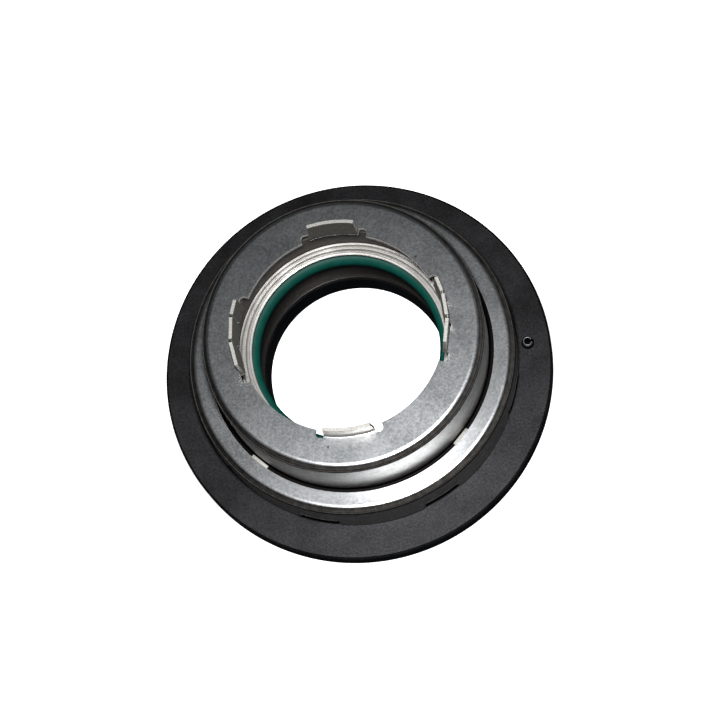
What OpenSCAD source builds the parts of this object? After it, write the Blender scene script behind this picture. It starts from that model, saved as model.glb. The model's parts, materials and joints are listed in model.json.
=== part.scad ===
// Multi-spring shaft seal: a seat plate with a lapped face, and a spin head that turns on it.
// Millimetres, +Z up along the shaft, origin at the centre of the seat plate's back face.

/* [Shaft] */
// Diameter of the shaft that the seal runs on
shaft_d = 40; // [34:0.5:44]

/* [Seat plate] */
// Outer diameter of the seat plate
seat_d = 88; // [84:0.5:104]
// Thickness of the seat plate
seat_t = 5; // [4:0.1:9]
// Height of the lapped face above the plate
face_h = 2.5; // [1.5:0.1:5]
// Radial clearance between the plate's bore and the shaft
seat_gap = 0.25; // [0.15:0.05:0.4]
// Width of the lapped face outside the carbon's nose
face_margin = 2.5; // [1:0.1:4]
// Chamfer on the rim and bore edges
seat_chamfer = 0.5; // [0.2:0.05:1]

/* [Seat pin] */
// Outer diameter of the slotted spring pin
pin_d = 2.5; // [1.5:0.1:3]
// Wall of the spring pin
pin_wall = 0.5; // [0.3:0.05:0.7]
// Width of the slot along the pin
pin_slot = 0.6; // [0.3:0.05:0.8]
// Height that the pin stands above the plate
pin_proud = 1.6; // [1:0.1:4]
// Gap between the pin and the shell
pin_gap = 1.15; // [0.6:0.05:2]
// Place of the pin around the plate, in degrees
pin_angle = 4; // [-15:1:15]
// Clearance between the pin and its hole
pin_hole_gap = 0.02; // [0.01:0.01:0.05]

/* [Carbon ring] */
// Radial gap between the carbon's bore and the shaft
carbon_gap = 1.5; // [1:0.1:2.5]
// Radial width of the running nose
nose_w = 3.5; // [2:0.1:4.5]
// Height of the running nose
nose_h = 0.5; // [0.3:0.05:1]
// Thickness of the outer flange
flange_t = 4.4; // [3:0.1:6]
// Height from the nose to the back of the hub
carbon_h = 9.2; // [8:0.1:14]

/* [Shaft ring] */
// Section diameter of the rubber ring
ring_section = 3.53; // [2.62:0.01:4.2]
// Width of the band where the ring bears on the shaft
ring_band = 1; // [0.6:0.1:1.4]
// Clearance between the ring and its groove
groove_gap = 0.1; // [0.05:0.01:0.3]

/* [Thrust ring] */
// Radial gap between the lip and the shaft
lip_gap = 1.3; // [1:0.05:1.8]
// Thickness of the lip above the ring's groove
lip_t = 1.1; // [0.8:0.1:2]
// Land between the ring's groove and the spring sleeve
sleeve_land = 0.7; // [0.5:0.1:2]
// Land between the spring sleeve and the spring pockets
pocket_land = 0.5; // [0.4:0.1:2]
// Wall between the spring pockets and the rim
pocket_wall = 0.35; // [0.3:0.05:1]
// Depth of the spring pockets
pocket_depth = 2; // [1:0.1:3]

/* [Spring sleeve] */
// Wall of the sleeve between the springs and the shaft
sleeve_t = 0.5; // [0.4:0.05:1]
// Depth of the groove that the sleeve stands in
sleeve_seat = 0.6; // [0.4:0.05:1]
// Clearance between the sleeve and its groove
sleeve_gap = 0.04; // [0.02:0.01:0.08]
// Room above the sleeve at the end of the cup's travel
sleeve_room = 0.5; // [0.3:0.1:2]

/* [Springs] */
// Number of springs, up to the number of nodes below
spring_count = 12; // [6:1:12]
// Outer diameter of a spring
spring_d = 3.2; // [2.6:0.1:3.8]
// Wire diameter
wire_d = 0.5; // [0.3:0.05:0.7]
// Installed length of a spring
spring_len = 12.5; // [10:0.1:18]
// Turns in a spring
spring_turns = 7; // [5:1:9]
// Clearance between a spring and its pocket
pocket_gap = 0.15; // [0.1:0.05:0.3]
// Gap at each end of a spring
spring_end_gap = 0.05; // [0.02:0.01:0.1]

/* [Drive cup] */
// Sheet thickness of the cup
cup_sheet = 1; // [0.7:0.05:1.4]
// Radial gap between the cup's bore and the shaft
cup_bore_gap = 2; // [1.5:0.1:3]
// Gap between the thrust ring and the cup's wall
cup_gap = 0.5; // [0.35:0.05:1]
// Inside radius of the cup's top corner
cup_corner = 0.8; // [0.4:0.1:1.5]
// Inside radius of the bend at the flange
flange_bend = 0.5; // [0.3:0.05:0.6]
// Width of the flange that is caught under the rim
flange_catch = 2.8; // [1.8:0.1:4]
// Travel of the cup against its springs
cup_travel = 3; // [1.5:0.1:4]
// Gap left under the flange at the end of the travel
travel_gap = 0.3; // [0.2:0.05:0.6]

/* [Cup tabs] */
// Height of the tabs above the cup
tab_h = 5.9; // [4:0.1:9]
// Outward lean of the tabs, in degrees
tab_lean = 5; // [0:0.5:12]
// Distance of the tabs from the edge of the bore
tab_set = 0.05; // [0.05:0.05:0.8]
// Inside radius of the bend at the foot of a tab
tab_bend = 0.25; // [0.2:0.05:0.8]
// Arc of the two curved tabs at their tops, in degrees
curved_tab_arc = 25; // [16:0.5:28]
// Arc of the first flat of the two three-part tabs, in degrees
first_flat_arc = 9.7; // [6:0.1:11]
// Arc of the middle flat of the three-part tabs, in degrees
middle_flat_arc = 13.6; // [8:0.1:15]
// Arc of the last flat of the three-part tabs, in degrees
last_flat_arc = 14.9; // [9:0.1:16]
// Start of the three-part tabs, in degrees from the cross axis
flat_start = 21; // [18:0.5:26]
// Width of the slits between the flats
flat_slit = 0.5; // [0.3:0.05:0.8]
// Slope of the ends of the tabs, in degrees
tab_taper = 5; // [0:1:18]
// Radius of the relief notches beside the tabs
notch_r = 0.9; // [0.7:0.05:1.1]
// Distance that a relief notch reaches past the tab's window
notch_past = 0.1; // [0.05:0.05:0.5]
// Length of the flat root that joins a tab to the cup's top
tab_root = 0.6; // [0.5:0.05:1]
// Turn of the cup in the shell as it stands, in degrees
cup_turn = 2; // [-10:0.5:10]

/* [Outer shell] */
// Sheet thickness of the shell
shell_sheet = 1; // [0.8:0.05:1.4]
// Inside radius of the shell's top corner
shell_corner = 0.9; // [0.5:0.1:1.5]
// Gap between the cup's wall and the rim
rim_gap = 1.1; // [1:0.05:2]
// Gap between the cup's flange and the shell's wall
flange_gap = 0.9; // [0.5:0.05:1.5]
// Gap between the carbon ring and the shell's wall
shell_gap = 0.3; // [0.2:0.05:0.6]
// Gap between the shell and the seat plate
shell_lift = 0.8; // [0.5:0.05:1.5]
// Number of guide lugs on the rim
lug_count = 4; // [3:1:6]
// Place of the first lug, in degrees
lug_start = 48; // [0:1:90]
// Width of the guide lugs on the rim
lug_w = 4.4; // [3:0.1:6]
// Gap between the lugs and the cup's wall
lug_gap = 0.35; // [0.3:0.05:0.6]
// Drop of the lugs below the rim
lug_drop = 0.2; // [0.1:0.05:0.3]
// Thickness of the coined lugs
lug_t = 0.6; // [0.4:0.05:0.65]

/* [Drive crimps] */
// Number of crimps around the shell
crimp_count = 8; // [4:1:10]
// Arc of a crimp, in degrees
crimp_arc = 13; // [8:0.5:16]
// Place of the first crimp, in degrees
crimp_start = 29.5; // [0:0.5:45]
// Depth that a crimp is pushed in
crimp_push = 1.2; // [1.1:0.05:1.6]
// Height of a crimp's bite above the carbon's lower face
crimp_bite = 1.7; // [1:0.1:2.5]
// Arc of the drawn sides of a crimp, in degrees
crimp_side = 1.4; // [1:0.1:2]
// Clearance between the crimps and the carbon's notches
crimp_gap = 0.3; // [0.2:0.05:0.5]
// Height of the lanced slit above a crimp
crimp_slit = 0.2; // [0.1:0.05:0.4]
// Radius of the lip raised along the top of a crimp
crimp_lip = 0.3; // [0.2:0.05:0.4]

/* [Hidden] */
$fn = 96;
small_fn = 32;
cut = 1;
spring_nodes = [for (i = [1 : spring_count]) str("spring_", i < 10 ? "0" : "", i)];

// Radii, from the shaft outwards
shaft_r = shaft_d / 2;
seat_r = seat_d / 2;
seat_bore_r = shaft_r + seat_gap;
carbon_bore_r = shaft_r + carbon_gap;
nose_r = carbon_bore_r + nose_w;
face_r = nose_r + face_margin;
ring_r = ring_section / 2;
ring_mid_r = shaft_r + sqrt(ring_r * ring_r - ring_band * ring_band / 4);
groove_r = ring_mid_r + ring_r + groove_gap;
lip_r = shaft_r + lip_gap;
pocket_r = spring_d / 2 + pocket_gap;
sleeve_in_r = groove_r + sleeve_land;
sleeve_r = sleeve_in_r + sleeve_t;
spring_circle_r = sleeve_r + pocket_land + pocket_r;
thrust_r = spring_circle_r + pocket_r + pocket_wall;
cup_in_r = thrust_r + cup_gap;
cup_r = cup_in_r + cup_sheet;
cup_bore_r = shaft_r + cup_bore_gap;
tab_in_r = cup_bore_r + tab_set;
tab_bend_r = tab_in_r + cup_sheet + tab_bend;
window_r = tab_bend_r + tab_root / 2;
notch_mid_r = window_r + notch_past - notch_r;
rim_r = cup_r + rim_gap;
flange_r = rim_r + flange_catch;
shell_in_r = flange_r + flange_gap;
shell_r = shell_in_r + shell_sheet;
carbon_r = shell_in_r - shell_gap;
crimp_in_r = shell_in_r - crimp_push;
pin_circle_r = shell_r + pin_gap + pin_d / 2;

// Heights, from the seat plate upwards
face_z = seat_t + face_h;
carbon_low_z = face_z + nose_h;
flange_z = carbon_low_z + flange_t;
carbon_z = face_z + carbon_h;
ring_z = carbon_z + groove_gap + ring_r;
groove_z = ring_z + ring_r + groove_gap;
thrust_z = groove_z + lip_t;
pocket_z = thrust_z - pocket_depth;
cup_under_z = pocket_z + spring_len;
cup_z = cup_under_z + cup_sheet;
sleeve_z = thrust_z - sleeve_seat;
sleeve_h = cup_under_z - cup_travel - sleeve_room - sleeve_z;
shell_low_z = seat_t + shell_lift;
cup_low_z = flange_z + travel_gap + cup_travel;
rim_under_z = cup_low_z + cup_sheet;
rim_z = rim_under_z + shell_sheet;
crimp_z = carbon_low_z + crimp_bite;
slit_z = crimp_z + crimp_slit;

// Places of the curved tabs, the arc that a tab gains at each end of its foot,
// and the arcs from the start of a three-part tab to each of its flats
curved_tab_angles = [90, 270];
flat_arcs = [first_flat_arc, middle_flat_arc, last_flat_arc];
tab_spread = tab_h * tan(tab_taper) / tab_in_r * 180 / PI;
flat_count = len(flat_arcs);
function flat_offset(index) = index == 0 ? 0 : flat_arcs[index - 1] + flat_offset(index - 1);
flat_end = flat_start - flat_offset(flat_count);

// Quarter of a bent sheet between an inner radius and that radius plus the sheet,
// in the quadrant that the two signs point to
module quarter_bend(inner, sheet, sign_x, sign_y) {
    outer = inner + sheet;
    intersection() {
        difference() {
            circle(outer);
            circle(inner);
        }
        translate([sign_x < 0 ? -outer : 0, sign_y < 0 ? -outer : 0])
            square(outer);
    }
}

// Ring sector of a profile, from one angle over an arc
module sector(from, arc) {
    rotate([0, 0, from])
        rotate_extrude(angle = arc)
            children();
}

// Seat plate: turned ring with a raised lapped face and broken edges
module seat_plate() {
    color("#2e2e31")
        difference() {
            rotate_extrude()
                polygon([
                    [seat_bore_r + seat_chamfer, 0],
                    [seat_r - seat_chamfer, 0],
                    [seat_r, seat_chamfer],
                    [seat_r, seat_t - seat_chamfer],
                    [seat_r - seat_chamfer, seat_t],
                    [face_r, seat_t],
                    [face_r, face_z],
                    [seat_bore_r + seat_chamfer, face_z],
                    [seat_bore_r, face_z - seat_chamfer],
                    [seat_bore_r, seat_chamfer]
                ]);
            rotate([0, 0, pin_angle])
                translate([pin_circle_r, 0, -cut])
                    cylinder(h = seat_t + 2 * cut, r = pin_d / 2 + pin_hole_gap);
        }
}

// Slotted spring pin, flush with the back of the plate, slot turned away from the shaft
module seat_pin() {
    pin_r = pin_d / 2;
    pin_h = seat_t + pin_proud;
    lead = pin_wall / 2;
    color("#26262a")
        rotate([0, 0, pin_angle])
            translate([pin_circle_r, 0, 0])
                difference() {
                    rotate_extrude()
                        polygon([
                            [pin_r - pin_wall, 0],
                            [pin_r - lead, 0],
                            [pin_r, lead],
                            [pin_r, pin_h - lead],
                            [pin_r - lead, pin_h],
                            [pin_r - pin_wall, pin_h]
                        ]);
                    translate([0, -pin_slot / 2, -cut])
                        cube([pin_d, pin_slot, pin_h + 2 * cut]);
                }
}

// Carbon ring: running nose below, outer flange with a notch for each crimp, hub behind
module carbon_ring() {
    hub_r = thrust_r - cup_gap;
    notch_in_r = crimp_in_r - crimp_gap;
    notch_arc = crimp_arc + 2 * (crimp_side + crimp_gap / crimp_in_r * 180 / PI);
    nose_bevel = nose_h / 2;
    color("#1f1c1b")
        difference() {
            rotate_extrude()
                polygon([
                    [carbon_bore_r, face_z],
                    [nose_r, face_z],
                    [nose_r + nose_bevel, carbon_low_z],
                    [carbon_r, carbon_low_z],
                    [carbon_r, flange_z],
                    [hub_r, flange_z],
                    [hub_r, carbon_z],
                    [carbon_bore_r, carbon_z]
                ]);
            for (i = [0 : crimp_count - 1])
                sector(crimp_start + i * 360 / crimp_count - notch_arc / 2, notch_arc)
                    translate([notch_in_r, carbon_low_z - cut])
                        square([shell_r - notch_in_r, crimp_bite + crimp_gap + cut]);
        }
}

// Rubber ring, flattened where it bears on the shaft
module shaft_o_ring() {
    color("#0b6b57")
        rotate_extrude()
            difference() {
                translate([ring_mid_r, ring_z])
                    circle(ring_r);
                translate([shaft_r - ring_section, ring_z - ring_r])
                    square([ring_section, ring_section]);
            }
}

// Thrust ring: flat turned face, lip over the rubber ring, groove for the sleeve, pocket for each spring
module thrust_ring() {
    color("#c9c8c4")
        difference() {
            rotate_extrude()
                polygon([
                    [groove_r, carbon_z],
                    [thrust_r, carbon_z],
                    [thrust_r, thrust_z],
                    [sleeve_r + sleeve_gap, thrust_z],
                    [sleeve_r + sleeve_gap, sleeve_z],
                    [sleeve_in_r - sleeve_gap, sleeve_z],
                    [sleeve_in_r - sleeve_gap, thrust_z],
                    [lip_r, thrust_z],
                    [lip_r, groove_z],
                    [groove_r, groove_z]
                ]);
            for (i = [0 : spring_count - 1])
                rotate([0, 0, i * 360 / spring_count])
                    translate([spring_circle_r, 0, pocket_z])
                        cylinder(h = pocket_depth + cut, r = pocket_r);
        }
}

// Thin rolled sleeve that keeps the springs off the shaft
module spring_sleeve() {
    color("#77716c")
        translate([0, 0, sleeve_z])
            difference() {
                cylinder(h = sleeve_h, r = sleeve_r);
                translate([0, 0, -cut])
                    cylinder(h = sleeve_h + 2 * cut, r = sleeve_in_r);
            }
}

// Outer shell: drawn wall with an inturned rim, guide lugs and lanced drive crimps
module outer_shell() {
    bend_z = rim_under_z - shell_corner;
    bend_r = shell_in_r - shell_corner;
    block_arc = crimp_arc + 2 * crimp_side;
    color("#8f959a")
        union() {
            difference() {
                union() {
                    rotate([0, 0, crimp_start])
                        rotate_extrude() {
                            translate([rim_r, rim_under_z])
                                square([bend_r - rim_r, shell_sheet]);
                            translate([bend_r, bend_z])
                                quarter_bend(shell_corner, shell_sheet, 1, 1);
                            translate([shell_in_r, shell_low_z])
                                square([shell_sheet, bend_z - shell_low_z]);
                        }
                    for (i = [0 : crimp_count - 1])
                        sector(crimp_start + i * 360 / crimp_count - block_arc / 2, block_arc)
                            translate([crimp_in_r, shell_low_z])
                                square([crimp_push + shell_sheet / 2, crimp_z - shell_low_z]);
                }
                for (i = [0 : crimp_count - 1])
                    sector(crimp_start + i * 360 / crimp_count - crimp_arc / 2, crimp_arc)
                        translate([crimp_in_r + shell_sheet, shell_low_z - cut])
                            square([crimp_push + cut, slit_z - shell_low_z + cut]);
            }
            for (i = [0 : crimp_count - 1])
                sector(crimp_start + i * 360 / crimp_count - crimp_arc / 2, crimp_arc)
                    translate([shell_r, slit_z])
                        intersection() {
                            circle(crimp_lip, $fn = small_fn);
                            translate([-crimp_lip, 0])
                                square([2 * crimp_lip, crimp_lip]);
                        }
            for (i = [0 : lug_count - 1])
                rotate([0, 0, lug_start + i * 360 / lug_count])
                    translate([cup_r + lug_gap, -lug_w / 2, rim_z - lug_drop - lug_t])
                        cube([rim_gap - lug_gap + shell_sheet / 2, lug_w, lug_t]);
        }
}

// Section of a tab: flat root, bend at the foot, then a straight wall that leans outwards
module tab_section() {
    outer = tab_bend + cup_sheet;
    translate([tab_bend_r, cup_z + tab_bend]) {
        intersection() {
            difference() {
                circle(outer);
                circle(tab_bend);
            }
            polygon([
                [0, 0],
                [-2 * outer * cos(tab_lean), 2 * outer * sin(tab_lean)],
                [-2 * outer, -2 * outer],
                [0, -2 * outer]
            ]);
        }
        rotate(-tab_lean)
            translate([-outer, 0])
                square([cup_sheet, tab_h - tab_bend]);
        translate([0, -outer])
            square([tab_root, cup_sheet]);
    }
}

// Wedge that slopes one end of a tab, on the side that the sign points to
module tab_end(angle, side) {
    reach = tab_bend_r + tab_h;
    rotate([0, 0, angle])
        translate([0, 0, cup_z + tab_bend])
            rotate([side * tab_taper, 0, 0])
                translate([0, side > 0 ? 0 : -reach, -tab_bend])
                    cube([reach, reach, 2 * tab_h]);
}

// Curved tab centred on an angle, wider at its foot
module curved_tab(angle) {
    foot_arc = curved_tab_arc + 2 * tab_spread;
    difference() {
        sector(angle - foot_arc / 2, foot_arc)
            tab_section();
        tab_end(angle + foot_arc / 2, 1);
        tab_end(angle - foot_arc / 2, -1);
    }
}

// Flat of a three-part tab between two angles, folded along its own chord
module flat_tab(high, low) {
    chord = 2 * tab_in_r * sin((high - low) / 2) - flat_slit;
    rotate([0, 0, (high + low) / 2])
        rotate([90, 0, 0])
            linear_extrude(height = chord, center = true)
                tab_section();
}

// Three-part tab on the +X side, wider at its foot
module flat_tabs() {
    difference() {
        for (i = [0 : flat_count - 1])
            flat_tab(
                flat_start - flat_offset(i) + (i == 0 ? tab_spread : 0),
                flat_start - flat_offset(i + 1) - (i == flat_count - 1 ? tab_spread : 0)
            );
        tab_end(flat_start + tab_spread, 1);
        tab_end(flat_end - tab_spread, -1);
    }
}

// Opening in the cup's top for a tab: clearance behind the bend and a round notch at each end
module tab_window(from, arc) {
    sector(from, arc)
        translate([cup_bore_r - cut, cup_under_z - cut])
            square([window_r - cup_bore_r + cut, cup_sheet + 2 * cut]);
    for (end = [from, from + arc])
        rotate([0, 0, end])
            translate([notch_mid_r, 0, cup_under_z - cut])
                linear_extrude(height = cup_sheet + 2 * cut) {
                    circle(notch_r, $fn = small_fn);
                    translate([-2 * notch_r, -notch_r])
                        square(2 * notch_r);
                }
}

// Drive cup: drawn wall, flat top with tabs bent up at its bore, flange caught under the rim
module drive_cup() {
    corner_z = cup_under_z - cup_corner;
    corner_r = cup_in_r - cup_corner;
    flange_bend_z = rim_under_z + flange_bend;
    flange_bend_r = cup_r + flange_bend;
    reach = tab_spread + notch_r / tab_in_r * 180 / PI;
    curved_arc = curved_tab_arc + 2 * reach;
    flats_arc = flat_start - flat_end + 2 * reach;
    color("#a7abad")
        rotate([0, 0, cup_turn])
            union() {
                difference() {
                    rotate_extrude() {
                        translate([cup_bore_r, cup_under_z])
                            square([corner_r - cup_bore_r, cup_sheet]);
                        translate([corner_r, corner_z])
                            quarter_bend(cup_corner, cup_sheet, 1, 1);
                        translate([cup_in_r, flange_bend_z])
                            square([cup_sheet, corner_z - flange_bend_z]);
                        translate([flange_bend_r, flange_bend_z])
                            quarter_bend(flange_bend, cup_sheet, -1, -1);
                        translate([flange_bend_r, cup_low_z])
                            square([flange_r - flange_bend_r, cup_sheet]);
                    }
                    for (angle = curved_tab_angles)
                        tab_window(angle - curved_arc / 2, curved_arc);
                    for (side = [0, 1])
                        mirror([side, 0, 0])
                            tab_window(flat_end - reach, flats_arc);
                }
                for (angle = curved_tab_angles)
                    curved_tab(angle);
                for (side = [0, 1])
                    mirror([side, 0, 0])
                        flat_tabs();
            }
}

// Steps in a turn and sides of the wire, the radius of the coil's centre line and its rise
coil_steps = 10;
coil_sides = 5;
coil_r = (spring_d - wire_d) / 2;
coil_rise = spring_len - 2 * spring_end_gap - wire_d;

// Height of the coil's centre line; the first and last turns lie closed
function coil_z(turn) =
    let (open_turns = spring_turns - 2)
    let (open_rise = coil_rise - 2 * wire_d)
    turn < 1 ? turn * wire_d :
    turn > spring_turns - 1 ? coil_rise - (spring_turns - turn) * wire_d :
    wire_d + (turn - 1) / open_turns * open_rise;

// Closed coil of round wire, swept ring by ring
module coil() {
    rings = spring_turns * coil_steps;
    points = [
        for (i = [0 : rings])
            for (k = [0 : coil_sides - 1])
                let (a = i * 360 / coil_steps)
                let (b = k * 360 / coil_sides)
                let (r = coil_r + wire_d / 2 * cos(b))
                [r * cos(a), r * sin(a), coil_z(i / coil_steps) + wire_d / 2 * sin(b)]
    ];
    sides = [
        for (i = [0 : rings - 1])
            for (k = [0 : coil_sides - 1])
                let (n = (k + 1) % coil_sides)
                let (low = i * coil_sides)
                let (high = low + coil_sides)
                each [[low + k, low + n, high + k], [low + n, high + n, high + k]]
    ];
    first = [for (k = [coil_sides - 1 : -1 : 0]) k];
    last = [for (k = [0 : coil_sides - 1]) rings * coil_sides + k];
    polyhedron(points, concat(sides, [first, last]));
}

// Spring number i, standing in its pocket
module spring(i) {
    color("#9a9c9e")
        rotate([0, 0, i * 360 / spring_count])
            translate([spring_circle_r, 0, pocket_z + spring_end_gap + wire_d / 2])
                coil();
}

seat_plate();
seat_pin();
carbon_ring();
shaft_o_ring();
thrust_ring();
spring_sleeve();
for (i = [0 : spring_count - 1])
    spring(i);
outer_shell();
drive_cup();
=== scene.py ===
import json
import math

import bmesh
import bpy
from mathutils import Matrix, Vector


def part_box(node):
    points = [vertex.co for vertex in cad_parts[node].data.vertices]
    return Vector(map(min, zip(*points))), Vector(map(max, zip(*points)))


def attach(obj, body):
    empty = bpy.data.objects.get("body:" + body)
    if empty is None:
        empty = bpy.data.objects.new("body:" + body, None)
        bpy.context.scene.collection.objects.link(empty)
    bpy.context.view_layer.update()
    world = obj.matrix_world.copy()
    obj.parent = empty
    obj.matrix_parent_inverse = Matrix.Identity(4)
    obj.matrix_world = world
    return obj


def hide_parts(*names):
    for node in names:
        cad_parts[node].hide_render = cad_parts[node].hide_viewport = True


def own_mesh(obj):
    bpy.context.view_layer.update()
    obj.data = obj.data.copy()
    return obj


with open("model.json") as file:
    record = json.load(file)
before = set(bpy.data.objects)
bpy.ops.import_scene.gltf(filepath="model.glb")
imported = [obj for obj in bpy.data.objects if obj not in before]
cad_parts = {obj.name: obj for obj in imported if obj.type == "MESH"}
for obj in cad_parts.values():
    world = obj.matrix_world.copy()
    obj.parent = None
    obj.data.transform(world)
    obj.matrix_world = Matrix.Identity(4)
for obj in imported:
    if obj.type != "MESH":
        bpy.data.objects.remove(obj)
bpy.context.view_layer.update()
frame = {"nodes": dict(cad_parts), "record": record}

# Seat plate: a steel ring turned on a lathe and blackened in a hot bath, which leaves it almost black and
# satin. Its raised face is lapped bare and flat for the carbon. It stands still in the machine's cover.
MM = 0.001
mounts = {m["name"]: m for m in frame["record"]["mounts"]}
seat_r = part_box("seat_plate")[1].x / MM
face_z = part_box("seat_plate")[1].z / MM
seat_bore_r = mounts["shaft_bore"]["dims"]["r_mm"]
seat_t = 5.0
seat_chamfer = 0.5
lapped_r = 27.5
pin_r = 1.25
pin_low, pin_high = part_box("seat_pin")
pin_mid = (pin_low + pin_high) / 2 / MM
pin_hole_gap = 0.04
pin_hole_chamfer = 0.18
turning_marks = 0.5  # spacing in mm; the real marks are finer, and drawn as coarse as the picture can show


def linear(code):
    """sRGB hex code to linear RGBA."""
    values = [int(code[i:i + 2], 16) / 255 for i in (1, 3, 5)]
    return (*[v / 12.92 if v <= 0.04045 else ((v + 0.055) / 1.055) ** 2.4 for v in values], 1)


def fill(tree, node, inputs):
    """Gives each input of a node its value, or links it to a socket."""
    for key, value in inputs.items():
        if isinstance(value, bpy.types.NodeSocket):
            tree.links.new(value, node.inputs[key])
        else:
            node.inputs[key].default_value = value


def add(tree, kind, inputs=None, stops=(), **settings):
    """A node with its settings and inputs, and a ramp's stops of place and colour."""
    made = tree.nodes.new(kind)
    for key, value in settings.items():
        setattr(made, key, value)
    for k, (position, code) in enumerate(stops):
        made.color_ramp.elements[k].position = position
        made.color_ramp.elements[k].color = linear(code)
    fill(tree, made, inputs or {})
    return made


def new_finish(name, **inputs):
    """A material with its shader's fixed values set; returns material, node tree and shader."""
    made = bpy.data.materials.new(name)
    made.use_nodes = True
    shader = made.node_tree.nodes["Principled BSDF"]
    for key, value in inputs.items():
        shader.inputs[key.replace("_", " ")].default_value = value
    return made, made.node_tree, shader


def lathe_rings(tree, place, spacing, detail, roughness):
    """The socket of a noise in rings round the axis, a spacing in mm apart."""
    level = add(tree, "ShaderNodeVectorMath", {0: place, 1: (1, 1, 0)}, operation="MULTIPLY")
    radius = add(tree, "ShaderNodeVectorMath", {0: level.outputs[0]}, operation="LENGTH")
    count = add(tree, "ShaderNodeMath", {0: radius.outputs["Value"], 1: 1 / (spacing * MM)}, operation="MULTIPLY")
    return add(tree, "ShaderNodeTexNoise", {"W": count.outputs[0], "Scale": 1.0, "Detail": detail,
                                            "Roughness": roughness}, noise_dimensions="1D").outputs["Fac"]


def rounded(corners, radius, steps=4):
    """Closed outline with each corner eased by an arc."""
    outline = []
    for i, corner in enumerate(corners):
        here = Vector(corner)
        back = Vector(corners[i - 1]) - here
        ahead = Vector(corners[(i + 1) % len(corners)]) - here
        half = back.angle(ahead) / 2
        reach = min(radius / math.tan(half), 0.45 * back.length, 0.45 * ahead.length)
        start = here + back.normalized() * reach
        end = here + ahead.normalized() * reach
        for k in range(steps + 1):
            t = k / steps
            outline.append(start * (1 - t) ** 2 + here * 2 * t * (1 - t) + end * t ** 2)
    return outline


def new_piece(name, mesh, *finishes, smooth=35):
    """An object of the scene with its finishes, shaded smooth up to an angle in degrees."""
    for finish in finishes:
        mesh.materials.append(finish)
    mesh.shade_smooth()
    mesh.set_sharp_from_angle(angle=math.radians(smooth))
    piece = bpy.data.objects.new(name, mesh)
    bpy.context.scene.collection.objects.link(piece)
    return piece


def mesh_of(name, bm):
    """The mesh of a finished bmesh, which is let go."""
    mesh = bpy.data.meshes.new(name)
    bm.to_mesh(mesh)
    bm.free()
    return mesh


def turned(name, outline, steps=256, start=0.0, arc=360.0, centre=(0, 0)):
    """Mesh of an outline of (radius, height) in mm turned about an upright axis, capped where the arc is open."""
    whole = arc == 360
    columns = steps if whole else steps + 1
    bm = bmesh.new()
    rings = []
    for j in range(columns):
        a = math.radians(start + arc * j / steps)
        rings.append([
            bm.verts.new(((centre[0] + r * math.cos(a)) * MM, (centre[1] + r * math.sin(a)) * MM, z * MM))
            for r, z in outline
        ])
    for j in range(steps):
        one, two = rings[j], rings[(j + 1) % columns]
        for k in range(len(outline)):
            bm.faces.new((one[k - 1], two[k - 1], two[k], one[k]))
    if not whole:
        bm.faces.new(rings[0])
        bm.faces.new(rings[-1])
    bmesh.ops.recalc_face_normals(bm, faces=bm.faces)
    return mesh_of(name, bm)


def settle(piece, smooth=35):
    """The piece's modifiers become its plain mesh."""
    graph = bpy.context.evaluated_depsgraph_get()
    mesh = bpy.data.meshes.new_from_object(piece.evaluated_get(graph))
    piece.modifiers.clear()
    piece.data = mesh
    if smooth is not None:
        mesh.shade_smooth()
        mesh.set_sharp_from_angle(angle=math.radians(smooth))
    return piece


# Blackened turned steel: magnetite on steel, dark with a broad satin sheen; the tool's marks run round it and
# the bath leaves faint clouds. It reflects as a weak metal, so its colour is set as one.
black_steel, tree, shader = new_finish("blackened_turned_steel", Metallic=1.0)
place = add(tree, "ShaderNodeTexCoord").outputs["Object"]
rings = lathe_rings(tree, place, turning_marks, 2.0, 0.7)
clouds_size = 9  # mm
clouds = add(tree, "ShaderNodeTexNoise", {"Vector": place, "Scale": 1 / (clouds_size * MM), "Detail": 4.0,
                                          "Roughness": 0.65})
grit_size = 0.45  # mm
grit = add(tree, "ShaderNodeTexNoise", {"Vector": place, "Scale": 1 / (grit_size * MM), "Detail": 3.0})
mixed = add(tree, "ShaderNodeMath", {0: clouds.outputs["Fac"], 1: grit.outputs["Fac"]}, operation="MULTIPLY")
colour = add(tree, "ShaderNodeValToRGB", {"Fac": mixed.outputs[0]}, stops=((0.12, "#1f1f20"), (0.42, "#39393b")))
sheen = add(tree, "ShaderNodeMapRange", {"Value": clouds.outputs["Fac"], "From Min": 0.3, "From Max": 0.7,
                                         "To Min": 0.52, "To Max": 0.58})
fine = add(tree, "ShaderNodeBump", {"Height": grit.outputs["Fac"], "Strength": 0.35, "Distance": 0.02 * MM})
ridges = add(tree, "ShaderNodeBump", {"Height": rings, "Strength": 0.3, "Distance": 0.03 * MM,
                                      "Normal": fine.outputs["Normal"]})
fill(tree, shader, {"Base Color": colour.outputs["Color"], "Roughness": sheen.outputs["Result"],
                    "Normal": ridges.outputs["Normal"]})

# Lapped steel: bare, even and finely matt, with no direction in it; its colour is painted dark grey as shade, since
# the face lies deep in the bore.
lapped_steel_painted_shade, tree, shader = new_finish("lapped_steel_painted_shade", Metallic=1.0, Roughness=0.3)
place = add(tree, "ShaderNodeTexCoord").outputs["Object"]
lap_size = 0.3  # mm
lap = add(tree, "ShaderNodeTexNoise", {"Vector": place, "Scale": 1 / (lap_size * MM), "Detail": 3.0})
colour = add(tree, "ShaderNodeValToRGB", {"Fac": lap.outputs["Fac"]}, stops=((0.0, "#2d2b29"), (1.0, "#3a3836")))
fill(tree, shader, {"Base Color": colour.outputs["Color"]})

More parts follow.
